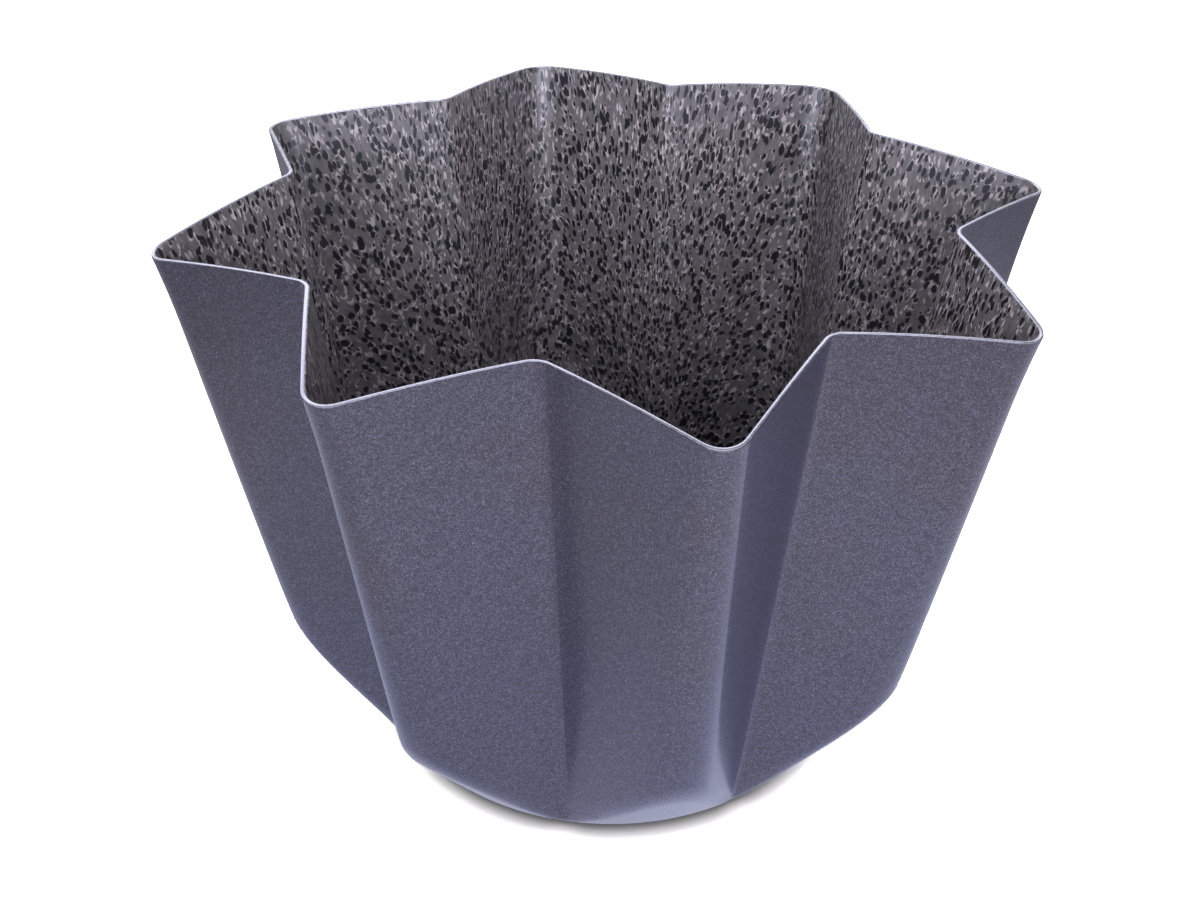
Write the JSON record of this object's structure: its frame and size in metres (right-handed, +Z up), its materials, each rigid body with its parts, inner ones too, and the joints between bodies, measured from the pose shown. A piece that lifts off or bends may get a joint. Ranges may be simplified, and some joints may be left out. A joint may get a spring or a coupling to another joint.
{
  "type": "pandoro mould",
  "caption": "Tall star-shaped sheet-metal baking mould, flaring from a round flat base to a scalloped open rim, with a stone-effect non-stick lining.",
  "frame": {"origin": "middle of the flat base's underside, which the mould stands on", "axes": "+Z up along the mould's axis, out of its open mouth; +X through a tip of the star, with tips also on the other axes and between them"},
  "size_m": [0.2202, 0.2202, 0.1485],
  "materials": {
    "outer_lacquer": "blue-grey metallic lacquer with a fine sparkle, semi-gloss",
    "metal_body": "bare sheet, bright where the rim is cut",
    "nonstick_lining": "stone-effect non-stick coat, grey with black flecks and pale streaks, satin"
  },
  "bodies": {
    "root": {"outer_lacquer": "outer_lacquer", "metal_body": "metal_body", "nonstick_lining": "nonstick_lining"}
  },
  "joints": []
}
